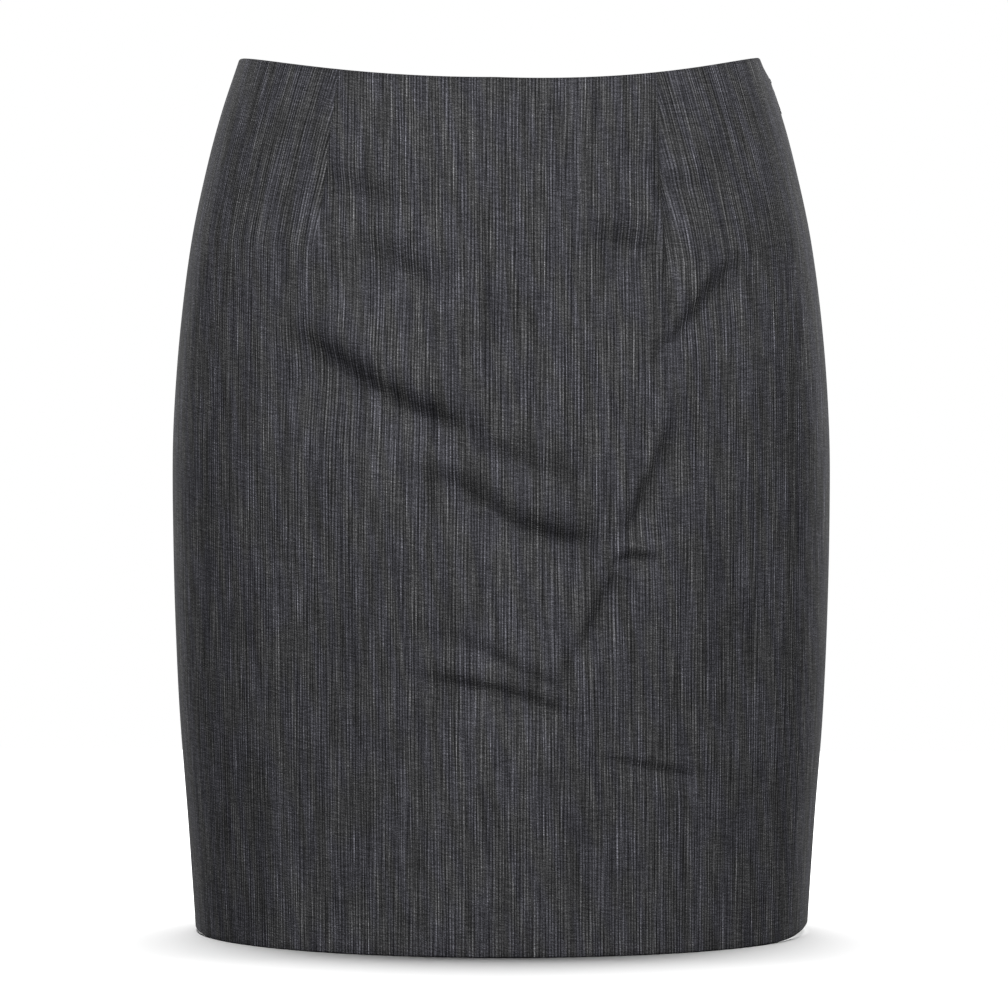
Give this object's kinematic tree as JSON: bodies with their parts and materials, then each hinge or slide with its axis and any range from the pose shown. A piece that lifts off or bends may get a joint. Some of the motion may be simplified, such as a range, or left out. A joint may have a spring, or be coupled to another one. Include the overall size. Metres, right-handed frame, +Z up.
{
  "type": "fitted straight skirt",
  "caption": "Short fitted straight skirt in dark woven suiting, with waist darts, a plain waist edge and a concealed side zip, held open in its worn shape.",
  "frame": {"origin": "centre of the waist ring, at the height that the waist edge has at the two side seams", "axes": "+Z up from hem to waist, the front faces -Y, and the wearer's left side, with the zip, is at +X"},
  "size_m": [0.362, 0.2487, 0.48],
  "materials": {
    "suiting": "matte wool-look suiting with fine slubbed stripes down its length",
    "zip_tape": "matte knitted tape",
    "zip_coil": "satin nylon",
    "zip_metal": "dark satin enamel"
  },
  "bodies": {
    "skirt": {"front_panel": "suiting", "back_panel": "suiting", "zip_tape_front": "zip_tape", "zip_tape_back": "zip_tape", "zip_coil": "zip_coil", "zip_slider": "zip_metal"},
    "pull_tab": {"zip_pull": "zip_metal"}
  },
  "joints": [
    {"name": "pull_swing", "type": "hinge", "parent": "skirt", "child": "pull_tab", "pos_m": [0.14753, 0, -0.0122], "axis": [0, -1, 0], "range_deg": [0, 150]}
  ]
}
